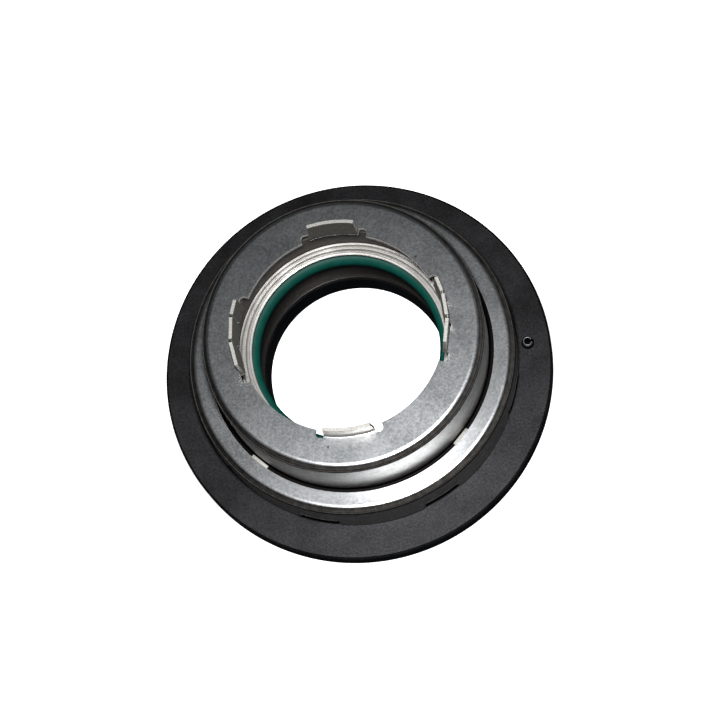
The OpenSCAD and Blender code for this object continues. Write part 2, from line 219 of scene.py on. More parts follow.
seat_corners = [
    (seat_bore_r + seat_chamfer, 0), (seat_r - seat_chamfer, 0), (seat_r, seat_chamfer),
    (seat_r, seat_t - seat_chamfer), (seat_r - seat_chamfer, seat_t), (lapped_r, seat_t), (lapped_r, face_z),
    (seat_bore_r + seat_chamfer, face_z), (seat_bore_r, face_z - seat_chamfer), (seat_bore_r, seat_chamfer),
]
seat = new_piece("seat_ring", turned("seat_ring", rounded(seat_corners, 0.12)), black_steel, lapped_steel_painted_shade)
hole_r = pin_r + pin_hole_gap
hole_corners = [
    (0, -1), (hole_r, -1), (hole_r, seat_t - pin_hole_chamfer), (hole_r + pin_hole_chamfer + 1, seat_t + 1),
    (0, seat_t + 1),
]
drill = new_piece("pin_drill", turned("pin_drill", [(max(r, 0.0001), z) for r, z in hole_corners], 48,
                                      centre=pin_mid.xy))
cut = seat.modifiers.new("pin_hole", "BOOLEAN")
cut.object = drill
settle(seat)
bpy.data.objects.remove(drill)
# the raised face takes the lapped finish, whose dark grey is painted shade
for face in seat.data.polygons:
    if face.center.z > (face_z - 0.02) * MM:
        face.material_index = 1
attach(seat, "seat")
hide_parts("seat_plate")

# Seat pin: a slotted spring pin, rolled from hardened strip and pressed into the plate's hole. Its end stands
# proud beside the shell and keeps the plate from turning.
pin_wall = 0.5
pin_slot = 0.6
pin_lead = 0.25
pin_angle = math.degrees(math.atan2(pin_mid.y, pin_mid.x))
slot_half = math.degrees(math.asin(pin_slot / 2 / (pin_r - pin_wall / 2)))
pin_corners = [
    (pin_r - pin_wall, 0), (pin_r - pin_lead, 0), (pin_r, pin_lead), (pin_r, pin_high.z / MM - pin_lead),
    (pin_r - pin_lead, pin_high.z / MM), (pin_r - pin_wall, pin_high.z / MM),
]

# Hardened spring strip: dark blue-black from its heat, worn a little lighter on its end.
spring_strip, tree, shader = new_finish("hardened_spring_strip", Metallic=1.0, Roughness=0.36)
place = add(tree, "ShaderNodeTexCoord").outputs["Object"]
height = add(tree, "ShaderNodeSeparateXYZ", {0: place})
worn = add(tree, "ShaderNodeMapRange", {"Value": height.outputs["Z"], "From Min": pin_high.z - 0.5 * MM,
                                        "From Max": pin_high.z})
stain_size = 0.5  # mm
stain = add(tree, "ShaderNodeTexNoise", {"Vector": place, "Scale": 1 / (stain_size * MM), "Detail": 3.0})
share = add(tree, "ShaderNodeMath", {0: worn.outputs["Result"], 1: stain.outputs["Fac"]}, operation="MULTIPLY")
colour = add(tree, "ShaderNodeValToRGB", {"Fac": share.outputs[0]}, stops=((0.0, "#3a3a3e"), (0.7, "#77787a")))
fill(tree, shader, {"Base Color": colour.outputs["Color"]})

pin = new_piece("slotted_pin", turned("slotted_pin", rounded(pin_corners, 0.06, 3), 64, pin_angle + slot_half,
                                      360 - 2 * slot_half, pin_mid.xy), spring_strip)
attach(pin, "seat")
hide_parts("seat_pin")

# Carbon ring: resin-bonded carbon graphite, moulded and machined, with a narrow nose that runs on the lapped
# face and a notch in its flange for each crimp of the shell, which turns it.
carbon_bore_r = 21.5
carbon_nose_r = 25.0
carbon_nose_h = 0.5
carbon_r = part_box("carbon_ring")[1].x / MM
carbon_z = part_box("carbon_ring")[1].z / MM
carbon_low_z = face_z + carbon_nose_h
carbon_flange_z = 12.4
carbon_hub_r = 28.608
crimp_count = 8
crimp_start = 29.5
crimp_arc = 13.0
notch_arc = crimp_arc + 3.8
notch_in_r = 33.908
notch_z = 10.0

# Carbon graphite: warm black, dull, with a faint grey bloom and fine pores.
carbon_graphite, tree, shader = new_finish("carbon_graphite", Roughness=0.55)
place = add(tree, "ShaderNodeTexCoord").outputs["Object"]
pores_size = 0.4  # mm
pores = add(tree, "ShaderNodeTexNoise", {"Vector": place, "Scale": 1 / (pores_size * MM), "Detail": 5.0,
                                         "Roughness": 0.7})
colour = add(tree, "ShaderNodeValToRGB", {"Fac": pores.outputs["Fac"]}, stops=((0.3, "#110f0e"), (0.75, "#242120")))
pits = add(tree, "ShaderNodeBump", {"Height": pores.outputs["Fac"], "Strength": 0.4, "Distance": 0.03 * MM})
fill(tree, shader, {"Base Color": colour.outputs["Color"], "Normal": pits.outputs["Normal"]})

carbon_corners = [
    (carbon_bore_r, face_z), (carbon_nose_r, face_z), (carbon_nose_r + carbon_nose_h / 2, carbon_low_z),
    (carbon_r, carbon_low_z), (carbon_r, carbon_flange_z), (carbon_hub_r, carbon_flange_z),
    (carbon_hub_r, carbon_z), (carbon_bore_r, carbon_z),
]
carbon = new_piece("carbon_face_ring", turned("carbon_face_ring", rounded(carbon_corners, 0.1, 3)),
                   carbon_graphite)


def new_tree(name, inputs):
    """A geometry tree with its named inputs; returns the tree and the sockets of its inputs."""
    made = bpy.data.node_groups.new(name, "GeometryNodeTree")
    for label, kind in {"Geometry": "Geometry", **inputs}.items():
        made.interface.new_socket(label, in_out="INPUT", socket_type="NodeSocket" + kind)
    made.interface.new_socket("Geometry", in_out="OUTPUT", socket_type="NodeSocketGeometry")
    return made, add(made, "NodeGroupInput").outputs


def copies_round(tree, given):
    """The socket of a tree's piece repeated at equal steps round the axis, as plain geometry."""
    model = add(tree, "GeometryNodeObjectInfo", {"Object": given["Piece"]})
    points = add(tree, "GeometryNodePoints", {"Count": given["Count"]})
    number = add(tree, "GeometryNodeInputIndex")
    step = add(tree, "ShaderNodeMath", {0: math.tau, 1: given["Count"]}, operation="DIVIDE")
    turn = add(tree, "ShaderNodeMath", {0: number.outputs[0], 1: step.outputs[0], 2: given["Start"]},
               operation="MULTIPLY_ADD")
    turns = add(tree, "ShaderNodeCombineXYZ", {"Z": turn.outputs[0]})
    copies = add(tree, "GeometryNodeInstanceOnPoints", {
        "Points": points.outputs[0], "Instance": model.outputs["Geometry"], "Rotation": turns.outputs[0]})
    return add(tree, "GeometryNodeRealizeInstances", {0: copies.outputs[0]}).outputs[0]


def finish_tree(tree, given, geometry):
    """Ends a tree: its geometry takes the finish that is given."""
    dressed = add(tree, "GeometryNodeSetMaterial", {0: geometry, "Material": given["Finish"]})
    add(tree, "NodeGroupOutput", {"Geometry": dressed.outputs[0]})


def run_tree(piece, tree, values, smooth=35):
    """Runs a tree on a piece with the values of its named inputs; the result becomes the piece's plain mesh."""
    modifier = piece.modifiers.new("tree", "NODES")
    modifier.node_group = tree
    for item in tree.interface.items_tree:
        if item.name in values:
            modifier[item.identifier] = values[item.name]
    settle(piece, smooth)


# The notches are cut all at once: one block, repeated round the ring's axis and taken away from it.
round_inputs = {"Count": "Int", "Start": "Float", "Piece": "Object", "Finish": "Material"}
notching, given = new_tree("notches_round_a_ring", round_inputs)
notched = add(notching, "GeometryNodeMeshBoolean", {"Mesh 1": given["Geometry"],
                                                    "Mesh 2": copies_round(notching, given)}, operation="DIFFERENCE")
finish_tree(notching, given, notched.outputs["Mesh"])


def cut_round(piece, count, start, cutter_mesh):
    """Takes a cutter away from a piece at equal steps round its axis, from a start in degrees."""
    block = bpy.data.objects.new("cutter", cutter_mesh)
    bpy.context.scene.collection.objects.link(block)
    run_tree(piece, notching, {"Count": count, "Start": math.radians(start), "Piece": block,
                               "Finish": piece.data.materials[0]})
    bpy.data.objects.remove(block)


notch_outline = [(notch_in_r, carbon_low_z - 1), (carbon_r + 1, carbon_low_z - 1), (carbon_r + 1, notch_z),
                 (notch_in_r, notch_z)]
cut_round(carbon, crimp_count, crimp_start, turned("notch", notch_outline, 12, -notch_arc / 2, notch_arc))
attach(carbon, "head")
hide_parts("carbon_ring")

# Shaft ring: a moulded green rubber O-ring in the thrust ring's groove, flattened a little where it grips the
# shaft. It drives the head and seals it on the shaft.
shaft_r = mounts["shaft_grip"]["dims"]["r_mm"]
ring_low, ring_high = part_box("shaft_o_ring")
ring_section = (ring_high.z - ring_low.z) / MM
ring_z = (ring_high.z + ring_low.z) / 2 / MM
ring_mid_r = ring_high.x / MM - ring_section / 2

# Green rubber: deep bluish green, moulded smooth, with a soft broad gloss and a trace of dust.
green_rubber, tree, shader = new_finish("green_moulded_rubber", IOR=1.52, Specular_IOR_Level=0.2)
place = add(tree, "ShaderNodeTexCoord").outputs["Object"]
dust_size = 1.5  # mm
dust = add(tree, "ShaderNodeTexNoise", {"Vector": place, "Scale": 1 / (dust_size * MM), "Detail": 5.0,
                                        "Roughness": 0.65})
colour = add(tree, "ShaderNodeValToRGB", {"Fac": dust.outputs["Fac"]}, stops=((0.3, "#033e36"), (0.75, "#074b41")))
gloss = add(tree, "ShaderNodeMapRange", {"Value": dust.outputs["Fac"], "To Min": 0.45, "To Max": 0.65})
skin_size = 0.25  # mm
skin = add(tree, "ShaderNodeTexNoise", {"Vector": place, "Scale": 1 / (skin_size * MM), "Detail": 2.0})
mould = add(tree, "ShaderNodeBump", {"Height": skin.outputs["Fac"], "Strength": 0.15, "Distance": 0.02 * MM})
fill(tree, shader, {"Base Color": colour.outputs["Color"], "Roughness": gloss.outputs["Result"],
                    "Normal": mould.outputs["Normal"]})

ring_outline = []
for k in range(48):
    a = math.tau * k / 48
    ring_outline.append((max(ring_mid_r + ring_section / 2 * math.cos(a), shaft_r),
                         ring_z + ring_section / 2 * math.sin(a)))
o_ring = new_piece("green_shaft_ring", turned("green_shaft_ring", ring_outline), green_rubber, smooth=60)
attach(o_ring, "head")
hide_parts("shaft_o_ring")

# Thrust ring: turned from steel bar. Its lip covers the shaft ring, a groove holds the spring sleeve, and
# drilled pockets hold the springs that press it on the carbon.
thrust_low, thrust_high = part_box("thrust_ring")
thrust_r = thrust_high.x / MM
thrust_z = thrust_high.z / MM
thrust_low_z = thrust_low.z / MM
groove_r = 23.558
groove_z = 20.43
lip_r = 21.3
sleeve_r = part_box("spring_sleeve")[1].x / MM
sleeve_z, sleeve_top_z = (corner.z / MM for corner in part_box("spring_sleeve"))
sleeve_t = 0.5
sleeve_gap = 0.04
spring_count = 12
spring_circle_r = 27.008
pocket_r = 1.75
pocket_z = 19.53
lathe_marks = 0.3  # spacing in mm, drawn coarser than the real feed so that it shows
face_grooves = (23.7, 22.65)
face_groove_w = 0.3
face_groove_h = 0.12

# Turned bare steel: bright, with the lathe's fine rings catching the light, and a thin brown film of oil.
turned_steel, tree, shader = new_finish("turned_bare_steel", Metallic=1.0)
place = add(tree, "ShaderNodeTexCoord").outputs["Object"]
rings = lathe_rings(tree, place, lathe_marks, 3.0, 0.75)
film_size = 6  # mm
film = add(tree, "ShaderNodeTexNoise", {"Vector": place, "Scale": 1 / (film_size * MM), "Detail": 4.0})
colour = add(tree, "ShaderNodeValToRGB", {"Fac": film.outputs["Fac"]}, stops=((0.35, "#a6a39f"), (0.65, "#c5c3bf")))
sheen = add(tree, "ShaderNodeMapRange", {"Value": rings, "To Min": 0.35, "To Max": 0.5})
ridges = add(tree, "ShaderNodeBump", {"Height": rings, "Strength": 1.0, "Distance": 0.05 * MM})
fill(tree, shader, {"Base Color": colour.outputs["Color"], "Roughness": sheen.outputs["Result"],
                    "Normal": ridges.outputs["Normal"]})

thrust_corners = [
    (groove_r, thrust_low_z), (thrust_r, thrust_low_z), (thrust_r, thrust_z), (sleeve_r + sleeve_gap, thrust_z),
    (sleeve_r + sleeve_gap, sleeve_z), (sleeve_r - sleeve_t - sleeve_gap, sleeve_z),
    (sleeve_r - sleeve_t - sleeve_gap, thrust_z),
]
for r in face_grooves:
    thrust_corners += [(r + face_groove_w / 2, thrust_z), (r, thrust_z - face_groove_h),
                       (r - face_groove_w / 2, thrust_z)]
thrust_corners += [(lip_r, thrust_z), (lip_r, groove_z), (groove_r, groove_z)]
thrust = new_piece("turned_thrust_ring", turned("turned_thrust_ring", rounded(thrust_corners, 0.1, 3)),
                   turned_steel)
pocket_outline = [(0.0001, pocket_z), (pocket_r, pocket_z), (pocket_r, thrust_z + 1), (0.0001, thrust_z + 1)]
cut_round(thrust, spring_count, 0, turned("pocket", pocket_outline, 32, centre=(spring_circle_r, 0)))
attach(thrust, "head")
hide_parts("thrust_ring")

# Spring sleeve: thin strip rolled into a tube and set in the thrust ring's groove, between the springs and the shaft.
# It is dull from its heat, grey with a brown cast, and its colour is painted darker as the shade it lies in under the
# cup.
rolled_strip_painted_shade, tree, shader = new_finish("dull_rolled_strip_painted_shade", Specular_IOR_Level=0.25)
place = add(tree, "ShaderNodeTexCoord").outputs["Object"]
streak_place = add(tree, "ShaderNodeVectorMath", {0: place, 1: (0.25, 0.25, 4)}, operation="MULTIPLY")
streaks_size = 1.4  # mm
streaks = add(tree, "ShaderNodeTexNoise", {"Vector": streak_place.outputs[0], "Scale": 1 / (streaks_size * MM),
                                           "Detail": 4.0})
colour = add(tree, "ShaderNodeValToRGB", {"Fac": streaks.outputs["Fac"]}, stops=((0.3, "#403c38"), (0.7, "#4e4a45")))
sheen = add(tree, "ShaderNodeMapRange", {"Value": streaks.outputs["Fac"], "To Min": 0.55, "To Max": 0.75})
fill(tree, shader, {"Base Color": colour.outputs["Color"], "Roughness": sheen.outputs["Result"]})

sleeve_corners = [(sleeve_r - sleeve_t, sleeve_z), (sleeve_r, sleeve_z), (sleeve_r, sleeve_top_z),
                  (sleeve_r - sleeve_t, sleeve_top_z)]
sleeve = new_piece("rolled_spring_sleeve", turned("rolled_spring_sleeve", rounded(sleeve_corners, 0.1, 3)),
                   rolled_strip_painted_shade)
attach(sleeve, "head")
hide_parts("spring_sleeve")

# Springs: small coils of drawn wire with closed ends, one in each pocket. They push the cup and the thrust ring apart;
# the mesh is wound at one length and does not close up when the cup moves.
spring_low, spring_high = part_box("spring_01")
wire_r = 0.25
coil_r = 1.35
coil_turns = 7
coil_rise = (spring_high.z - spring_low.z) / MM - 2 * wire_r
spring_base_z = spring_low.z / MM + wire_r
spring_nodes = sorted(name for name in frame["nodes"] if name.startswith("spring_") and name[-1].isdigit())

# Drawn spring wire: smooth and bright, with a slight grey oxide.
spring_wire, tree, shader = new_finish("drawn_spring_wire", Metallic=1.0, Roughness=0.3)
place = add(tree, "ShaderNodeTexCoord").outputs["Object"]
oxide_size = 0.8  # mm
oxide = add(tree, "ShaderNodeTexNoise", {"Vector": place, "Scale": 1 / (oxide_size * MM), "Detail": 3.0})
colour = add(tree, "ShaderNodeValToRGB", {"Fac": oxide.outputs["Fac"]}, stops=((0.0, "#7d7e80"), (1.0, "#b4b4b3")))
fill(tree, shader, {"Base Color": colour.outputs["Color"]})

winding, given = new_tree("coil_springs_round_a_ring", {
    "Springs": "Int", "Turns": "Int", "Circle Radius": "Float", "Coil Radius": "Float", "Wire Radius": "Float",
    "Rise": "Float", "Base": "Float", "Finish": "Material"})
coil = add(winding, "GeometryNodeCurveSpiral", {
    "Resolution": 24, "Rotations": given["Turns"], "Start Radius": given["Coil Radius"],
    "End Radius": given["Coil Radius"], "Height": 0.0})
along = add(winding, "GeometryNodeSplineParameter")
# The first and last turn lie closed: the rise over a turn there is one wire, and even between them.
pitch = add(winding, "ShaderNodeFloatCurve", {"Value": along.outputs["Factor"]})
curve = pitch.mapping.curves[0]
closed = 2 * wire_r / coil_rise
curve.points[0].location = (0, 0)
curve.points[1].location = (1, 1)
for x, y in ((1 / coil_turns, closed), (1 - 1 / coil_turns, 1 - closed)):
    curve.points.new(x, y)
for point in curve.points:
    point.handle_type = "VECTOR"
pitch.mapping.update()
lift = add(winding, "ShaderNodeMath", {0: pitch.outputs[0], 1: given["Rise"], 2: given["Base"]},
           operation="MULTIPLY_ADD")
lifts = add(winding, "ShaderNodeCombineXYZ", {"Z": lift.outputs[0]})
raised = add(winding, "GeometryNodeSetPosition", {"Geometry": coil.outputs[0], "Offset": lifts.outputs[0]})
wire = add(winding, "GeometryNodeCurvePrimitiveCircle", {"Resolution": 10, "Radius": given["Wire Radius"]},
           mode="RADIUS")
swept = add(winding, "GeometryNodeCurveToMesh", {"Curve": raised.outputs[0], "Profile Curve": wire.outputs[0],
                                                 "Fill Caps": True})
places = add(winding, "GeometryNodeMeshCircle", {"Vertices": given["Springs"],
                                                 "Radius": given["Circle Radius"]})
springs_set = add(winding, "GeometryNodeInstanceOnPoints", {"Points": places.outputs[0],
                                                            "Instance": swept.outputs[0]})
real = add(winding, "GeometryNodeRealizeInstances", {0: springs_set.outputs[0]})
finish_tree(winding, given, real.outputs[0])

springs = new_piece("coil_springs", bpy.data.meshes.new("coil_springs"))
run_tree(springs, winding, {
    "Springs": spring_count, "Turns": coil_turns, "Circle Radius": spring_circle_r * MM, "Coil Radius": coil_r * MM,
    "Wire Radius": wire_r * MM, "Rise": coil_rise * MM, "Base": spring_base_z * MM, "Finish": spring_wire}, 60)
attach(springs, "head")
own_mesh(springs)
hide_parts(*spring_nodes)

# Outer shell: a cup of zinc-plated sheet steel drawn round the carbon. Its rim is turned in over the drive
# cup's flange, and crimps lanced low in its wall bite into the carbon's notches.
shell_low, shell_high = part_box("outer_shell")
shell_low_z = shell_low.z / MM
rim_z = shell_high.z / MM
sheet = 1.0
thin_sheet = 0.75
edge_ease = 0.04
shell_r = 36.408
shell_corner = 0.9
rim_r = 31.708
crimp_z = 9.7
slit_z = 9.9
crimp_push = 1.2
crimp_side = 1.4
crimp_lip = 0.3
lip_rise = 0.9


def smoothstep(x):
    """0 to 1 with a soft start and end."""
    x = min(max(x, 0), 1)
    return x * x * (3 - 2 * x)


def arc_points(centre, radius, start, end, steps):
    """Points of an arc in the (radius, height) plane, angles in degrees."""
    made = []
    for k in range(steps + 1):
        a = math.radians(start + (end - start) * k / steps)
        made.append((centre[0] + radius * math.cos(a), centre[1] + radius * math.sin(a)))
    return made


def patch(bm, rows):
    """Quads between rows of points in mm, each row as long as the next."""
    made = [[bm.verts.new(Vector(p) * MM) for p in row] for row in rows]
    for one, two in zip(made, made[1:]):
        for k in range(len(one) - 1):
            bm.faces.new((one[k], one[k + 1], two[k + 1], two[k]))


def polar(r, angle, z):
    """Point at a radius, an angle in degrees and a height."""
    a = math.radians(angle)
    return (r * math.cos(a), r * math.sin(a), z)


def even(start, end, count):
    """A count of even values from start to end, both included."""
    return [start + (end - start) * k / (count - 1) for k in range(count)]


def spread(start, end, step):
    """Even values from start to end, both included, no further apart than a step."""
    return even(start, end, max(1, math.ceil(abs(end - start) / step - 0.001)) + 1)


def pressed(name, bm, face, edge, thin_above=None):
    """Piece of sheet metal: the middle surface gets the sheet's thickness, sheared edges and eased corners. Above a
    height in mm the sheet is thin."""
    bmesh.ops.remove_doubles(bm, verts=bm.verts, dist=0.002 * MM)
    bmesh.ops.recalc_face_normals(bm, faces=bm.faces)
    mesh = mesh_of(name, bm)
    piece = new_piece(name, mesh, face, edge)
    thick = piece.modifiers.new("sheet", "SOLIDIFY")
    thick.thickness = sheet * MM
    thick.offset = 0
    thick.use_even_offset = True
    thick.material_offset_rim = 1
    if thin_above is not None:
        full = piece.vertex_groups.new(name="full_sheet")
        full.add([v.index for v in mesh.vertices if v.co.z < thin_above * MM], 1.0, "REPLACE")
        thick.vertex_group = full.name
        thick.thickness_vertex_group = thin_sheet / sheet
    ease = piece.modifiers.new("eased_edges", "BEVEL")
    ease.width = edge_ease * MM
    ease.segments = 3
    ease.limit_method = "ANGLE"
    ease.angle_limit = math.radians(50)
    ease.loop_slide = False
    ease.harden_normals = True
    ease.material = 1
    settle(piece, None)
    piece.vertex_groups.clear()
    return piece


# Zinc-plated drawn steel: satin grey with a fine mottled grain from the sheet, soft clouds where the plating
# is thicker, and a few dark pits.
zinc_grain = 0.45  # grain size in mm, drawn a little coarse so that it shows
zinc_steel, tree, shader = new_finish("zinc_plated_drawn_steel", Metallic=1.0)
place = add(tree, "ShaderNodeTexCoord").outputs["Object"]
grain = add(tree, "ShaderNodeTexNoise", {"Vector": place, "Scale": 1 / (zinc_grain * MM), "Detail": 2.0,
                                         "Roughness": 0.5})
clouds_size = 7  # mm
clouds = add(tree, "ShaderNodeTexNoise", {"Vector": place, "Scale": 1 / (clouds_size * MM), "Detail": 5.0,
                                          "Roughness": 0.6})
both = add(tree, "ShaderNodeMath", {0: grain.outputs["Fac"], 1: clouds.outputs["Fac"]}, operation="ADD")
halved = add(tree, "ShaderNodeMath", {0: both.outputs[0], 1: 0.5}, operation="MULTIPLY")
colour = add(tree, "ShaderNodeValToRGB", {"Fac": halved.outputs[0]}, stops=((0.35, "#adb0b2"), (0.65, "#e1e3e5")))
sheen = add(tree, "ShaderNodeMapRange", {"Value": grain.outputs["Fac"], "From Min": 0.3, "From Max": 0.7,
                                         "To Min": 0.25, "To Max": 0.265})
mottle = add(tree, "ShaderNodeBump", {"Height": grain.outputs["Fac"], "Strength": 0.05, "Distance": 0.02 * MM})
pits_size = 6  # mm
pits = add(tree, "ShaderNodeTexVoronoi", {"Vector": place, "Scale": 1 / (pits_size * MM)})
pitted = add(tree, "ShaderNodeMapRange", {"Value": pits.outputs["Distance"], "From Min": 0.03, "From Max": 0.055,
                                          "To Min": 0.3, "To Max": 1.0})
dotted = add(tree, "ShaderNodeVectorMath", {0: colour.outputs["Color"], 1: pitted.outputs["Result"]},
             operation="MULTIPLY")
fill(tree, shader, {"Base Color": dotted.outputs[0], "Roughness": sheen.outputs["Result"],
                    "Normal": mottle.outputs["Normal"]})

# Drawn wall: the die has pulled the plated sheet upright, so the walls are duller than the flats and carry fine
# upright marks.
draw_marks = 0.25  # spacing in mm
drawn_wall, tree, shader = new_finish("drawn_wall_steel", Metallic=1.0)
place = add(tree, "ShaderNodeTexCoord").outputs["Object"]
mark_place = add(tree, "ShaderNodeVectorMath", {0: place, 1: (1, 1, 0.2)}, operation="MULTIPLY")
marks = add(tree, "ShaderNodeTexNoise", {"Vector": mark_place.outputs[0], "Scale": 1 / (draw_marks * MM),
                                         "Detail": 3.0})
scuffs_size = 1.6  # mm
scuffs = add(tree, "ShaderNodeTexNoise", {"Vector": place, "Scale": 1 / (scuffs_size * MM), "Detail": 5.0,
                                          "Roughness": 0.7})
worn = add(tree, "ShaderNodeMath", {0: marks.outputs["Fac"], 1: scuffs.outputs["Fac"]}, operation="MULTIPLY")
colour = add(tree, "ShaderNodeValToRGB", {"Fac": worn.outputs[0]}, stops=((0.05, "#6d6b69"), (0.5, "#b6b4b2")))
sheen = add(tree, "ShaderNodeMapRange", {"Value": marks.outputs["Fac"], "To Min": 0.35, "To Max": 0.5})
scratches = add(tree, "ShaderNodeBump", {"Height": marks.outputs["Fac"], "Strength": 0.4, "Distance": 0.02 * MM})
fill(tree, shader, {"Base Color": colour.outputs["Color"], "Roughness": sheen.outputs["Result"],
                    "Normal": scratches.outputs["Normal"]})

# Bend: the die's radius has rubbed the plating smooth at the corners; their colour is darker than the flats as painted
# shade, so they turn dark quickly and draw a clean line round each flat.
painted_shade_bend, tree, shader = new_finish("bend_steel_painted_shade", Metallic=1.0)
place = add(tree, "ShaderNodeTexCoord").outputs["Object"]
bend_mottle_size = 1.2  # mm
bend_mottle = add(tree, "ShaderNodeTexNoise", {"Vector": place, "Scale": 1 / (bend_mottle_size * MM), "Detail": 3.0})
colour = add(tree, "ShaderNodeValToRGB", {"Fac": bend_mottle.outputs["Fac"]}, stops=((0.35, "#76726e"), (0.65, "#98948f")))
sheen = add(tree, "ShaderNodeMapRange", {"Value": bend_mottle.outputs["Fac"], "To Min": 0.18, "To Max": 0.26})
fill(tree, shader, {"Base Color": colour.outputs["Color"], "Roughness": sheen.outputs["Result"]})

# Sheared steel edge: the bare cut through the plated sheet, brighter than its faces, rough and unevenly torn.
sheared_edge, tree, shader = new_finish("sheared_steel_edge", Metallic=1.0)
place = add(tree, "ShaderNodeTexCoord").outputs["Object"]
tear_size = 0.3  # mm
tear = add(tree, "ShaderNodeTexNoise", {"Vector": place, "Scale": 1 / (tear_size * MM), "Detail": 4.0})
colour = add(tree, "ShaderNodeValToRGB", {"Fac": tear.outputs["Fac"]}, stops=((0.35, "#b0aeaa"), (0.65, "#d6d4cf")))
sheen = add(tree, "ShaderNodeMapRange", {"Value": tear.outputs["Fac"], "To Min": 0.7, "To Max": 0.8})
fill(tree, shader, {"Base Color": colour.outputs["Color"], "Roughness": sheen.outputs["Result"]})

wall_r = shell_r - sheet / 2
corner_z = rim_z - sheet - shell_corner
corner_r = shell_r - sheet - shell_corner
flat_rise = 0.93  # upright part of a face's normal above which it still counts as flat
hold = 0.15  # distance from a bend of the row that keeps the flat beside it flat
rim_profile = [(rim_r, rim_z - sheet / 2), (corner_r - hold, rim_z - sheet / 2)]
rim_profile += arc_points((corner_r, corner_z), shell_corner + sheet / 2, 90, 0, 10)
rim_profile += [(wall_r, corner_z - hold), (wall_r, slit_z + 3 * lip_rise)]
flare_rows = spread(slit_z + lip_rise, slit_z, 0.25)
strip_rows = spread(crimp_z, shell_low_z, 1.0)
crimp_half = crimp_arc / 2
zone_half = crimp_half + crimp_side


def crimp_offset(angle):
    """Degrees from the nearest crimp's middle."""
    step = 360 / crimp_count
    return abs((angle - crimp_start + step / 2) % step - step / 2)


bm = bmesh.new()
for i in range(crimp_count):
    middle = crimp_start + i * 360 / crimp_count
    gap = 180 / crimp_count
    zone = sorted(set(spread(-zone_half, -crimp_half, 0.2) + spread(-crimp_half, crimp_half, 1.0)
                      + spread(crimp_half, zone_half, 0.2)))
    plain = spread(zone_half, 2 * gap - zone_half, 1.5)
    for offsets, lanced in ((zone, True), (plain, False)):
        angles = [middle + x for x in offsets]
        upper = [[polar(r, a, z) for a in angles] for r, z in rim_profile]
        for z in flare_rows:
            lift = crimp_lip * (1 - (z - slit_z) / lip_rise) ** 2
            upper.append([
                polar(wall_r + lift * smoothstep((zone_half - crimp_offset(a)) / crimp_side), a, z)
                for a in angles
            ])
        lower = []
        for z in strip_rows:
            lower.append([
                polar(wall_r - crimp_push * smoothstep((zone_half - crimp_offset(a)) / crimp_side), a, z)
                for a in angles
            ])
        if lanced:
            patch(bm, upper)
            patch(bm, lower)
        else:
            patch(bm, upper + lower)
shell = pressed("drawn_outer_shell", bm, zinc_steel, sheared_edge)
on_flat, on_edge, on_wall, on_bend = range(4)  # slots of the sheet's finishes
for finish in (drawn_wall, painted_shade_bend):
    shell.data.materials.append(finish)
for face in shell.data.polygons:
    if face.material_index == on_flat and face.center.z < corner_z * MM:
        face.material_index = on_wall
    # faces round a bend take the darker finish: painted shade
    elif face.material_index == on_flat and face.center.xy.length > corner_r * MM and abs(face.normal.z) < flat_rise:
        face.material_index = on_bend
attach(shell, "head")
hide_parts("outer_shell")

# Guide lugs: four short tongues coined thin on the rim's inner edge, which keep the drive cup central in the
# shell. Coining leaves them bright.
lug_count = 4
lug_start = 48.0
lug_w = 4.4
lug_t = 0.6
lug_drop = 0.2
lug_in_r = 30.958
lug_out_r = rim_r + 0.5
bm = bmesh.new()
bmesh.ops.create_cube(bm, size=1, matrix=Matrix.Diagonal((*[x * MM for x in (lug_out_r - lug_in_r, lug_w, lug_t)],
                                                           1)))
bmesh.ops.bevel(bm, geom=bm.edges, offset=0.12 * MM, segments=3, affect="EDGES", profile=0.5)
bmesh.ops.translate(bm, verts=bm.verts, vec=Vector(((lug_in_r + lug_out_r) / 2, 0, rim_z - lug_drop - lug_t / 2))
                    * MM)
lug = bpy.data.objects.new("lug", mesh_of("lug", bm))
bpy.context.scene.collection.objects.link(lug)

repeating, given = new_tree("pieces_round_the_axis", round_inputs)
finish_tree(repeating, given, copies_round(repeating, given))

lugs = new_piece("rim_guide_lugs", bpy.data.meshes.new("rim_guide_lugs"))
run_tree(lugs, repeating, {"Count": lug_count, "Start": math.radians(lug_start), "Piece": lug, "Finish": sheared_edge},
         40)
bpy.data.objects.remove(lug)
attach(lugs, "head")

# Drive cup: drawn from the same plated sheet, with a flange caught under the shell's rim. Tongues cut at its
# bore are bent up, two curved and two folded in three flats, with a round relief at each end; they fit in
# slots of the shaft's collar, which drives the cup.
cup_low, cup_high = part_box("drive_cup")
cup_flange_r = cup_high.x / MM
cup_low_z = cup_low.z / MM
cup_r = 30.608
cup_z = 33.03
cup_corner = 0.8
cup_flange_bend = 0.5
cup_bore_r = 22.0
tab_in_r = 22.05
tab_bend = 0.25
tab_bend_r = tab_in_r + sheet + tab_bend
tab_h = 5.9
tab_lean = 5.0
tab_taper = 5.0
window_r = 23.6
relief_r = 0.9
relief_mid_r = 22.8
curved_arc = 25.0
flat_arcs = (9.7, 13.6, 14.9)
flat_start = 21.0
cup_turn = 2.0
flat_slit = 0.5
join_r = 24.9  # ring on the cup's top where the tabs' part of the sheet begins

